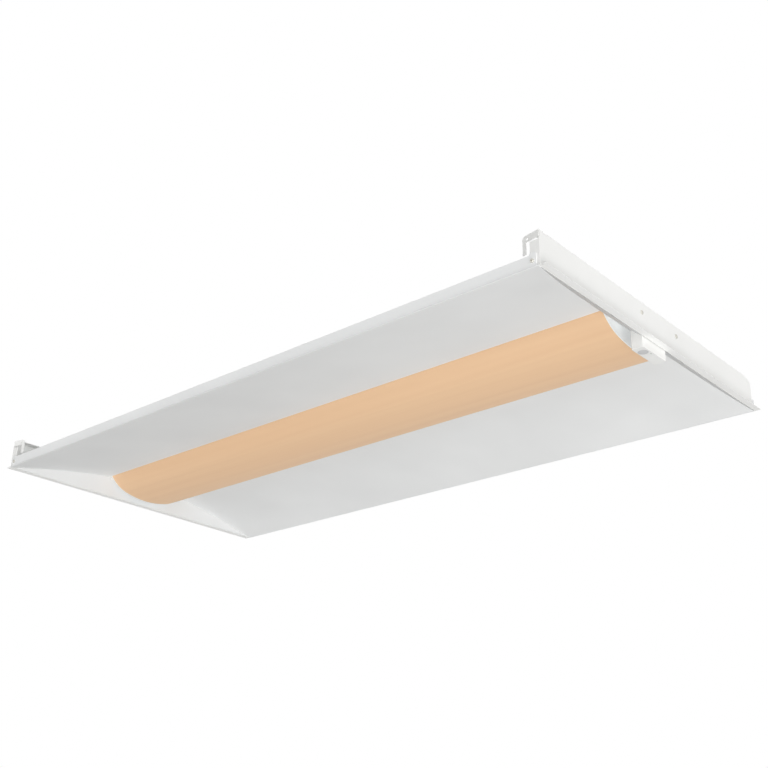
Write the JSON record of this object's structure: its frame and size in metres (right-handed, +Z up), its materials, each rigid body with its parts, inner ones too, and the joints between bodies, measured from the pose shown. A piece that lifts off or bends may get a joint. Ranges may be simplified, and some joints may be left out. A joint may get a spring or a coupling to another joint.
{
  "type": "recessed troffer light",
  "caption": "Lay-in ceiling troffer with white coffer reflectors, a bowed hinged diffuser over LED boards, an occupancy sensor, grid clips and a wiring compartment.",
  "frame": {"origin": "centre of the grid opening, in the plane of the flange's underside that rests on the grid tees", "axes": "+X along the long side towards the sensor, +Y along the short side away from the grid clips, +Z up into the ceiling"},
  "size_m": [1.213, 0.6038, 0.1056],
  "materials": {
    "white_enamel_steel": "satin white baked enamel",
    "reflector_enamel": "matte high-reflectance white enamel",
    "galvanised_steel": "zinc coated sheet",
    "zinc_screws": "zinc plated",
    "lens_acrylic": null,
    "spring_steel": "bare spring steel",
    "board_laminate": "white solder mask",
    "phosphor": "yellow phosphor",
    "white_nylon": "moulded",
    "black_plastic": "moulded",
    "driver_aluminium": "satin case",
    "connector_green": "moulded",
    "black_insulation": "extruded insulation",
    "white_insulation": "extruded insulation",
    "green_insulation": "extruded insulation",
    "red_insulation": "extruded insulation",
    "grey_insulation": "extruded jacket",
    "sensor_plastic": "moulded",
    "grey_window": null,
    "opal_acrylic": null,
    "indicator_plastic": "clear lens",
    "circuit_board": "solder mask"
  },
  "bodies": {
    "housing": {"board_connectors": "white_nylon", "board_screws": "zinc_screws", "bulkhead_left": "white_enamel_steel", "bulkhead_right": "white_enamel_steel", "bulkhead_screws": "zinc_screws", "catch_clips": "spring_steel", "compartment_cover": "galvanised_steel", "corner_screws": "zinc_screws", "cover_screws": "zinc_screws", "door_hinge_pins": "zinc_screws", "driver": "driver_aluminium", "driver_screws": "zinc_screws", "driver_terminals": "connector_green", "end_plate_left": "white_enamel_steel", "end_plate_right": "white_enamel_steel", "end_reflector_left": "reflector_enamel", "end_reflector_right": "reflector_enamel", "ground_lead": "green_insulation", "ground_lug": "zinc_screws", "ground_screw": "zinc_screws", "jumper_leads": "white_insulation", "knockout_slugs": "galvanised_steel", "lead_bushing": "black_plastic", "lead_clips": "white_nylon", "led_board_back_left": "board_laminate", "led_board_back_right": "board_laminate", "led_board_front_left": "board_laminate", "led_board_front_right": "board_laminate", "led_packages_back": "phosphor", "led_packages_front": "phosphor", "live_lead": "black_insulation", "neutral_lead": "white_insulation", "plate_rivets": "zinc_screws", "row_lead_back": "white_insulation", "row_lead_front": "red_insulation", "sensor_board": "circuit_board", "sensor_bracket": "galvanised_steel", "sensor_bushings": "black_plastic", "sensor_fascia": "sensor_plastic", "sensor_housing": "sensor_plastic", "sensor_indicator": "indicator_plastic", "sensor_lead": "grey_insulation", "sensor_screws": "zinc_screws", "sensor_window": "grey_window", "side_reflector_back": "reflector_enamel", "side_reflector_front": "reflector_enamel", "side_rivets": "zinc_screws", "spine": "galvanised_steel", "supply_connector": "white_nylon"},
    "diffuser_door": {"diffuser": "lens_acrylic", "diffuser_cap_left": "opal_acrylic", "diffuser_cap_right": "opal_acrylic", "catch_studs": "lens_acrylic"},
    "grid_clip_left": {"grid_clip_left": "white_enamel_steel"},
    "grid_clip_right": {"grid_clip_right": "white_enamel_steel"},
    "wiring_door": {"wiring_door": "galvanised_steel", "door_screw": "zinc_screws"}
  },
  "joints": [
    {"name": "diffuser_hinge", "type": "hinge", "parent": "housing", "child": "diffuser_door", "pos_m": [0, 0.08, 0.0355], "axis": [1, 0, 0], "range_deg": [0, 80]},
    {"name": "wiring_door_hinge", "type": "hinge", "parent": "housing", "child": "wiring_door", "pos_m": [0, 0.0585, 0.0864], "axis": [-1, 0, 0], "range_deg": [0, 110]},
    {"name": "grid_clip_right_fold", "type": "hinge", "parent": "housing", "child": "grid_clip_right", "pos_m": [0.5971, -0.2993, 0.047], "axis": [0, 0, 1], "range_deg": [0, 90]},
    {"name": "grid_clip_left_fold", "type": "hinge", "parent": "housing", "child": "grid_clip_left", "pos_m": [-0.5971, -0.2993, 0.047], "axis": [0, 0, -1], "range_deg": [0, 90]}
  ]
}
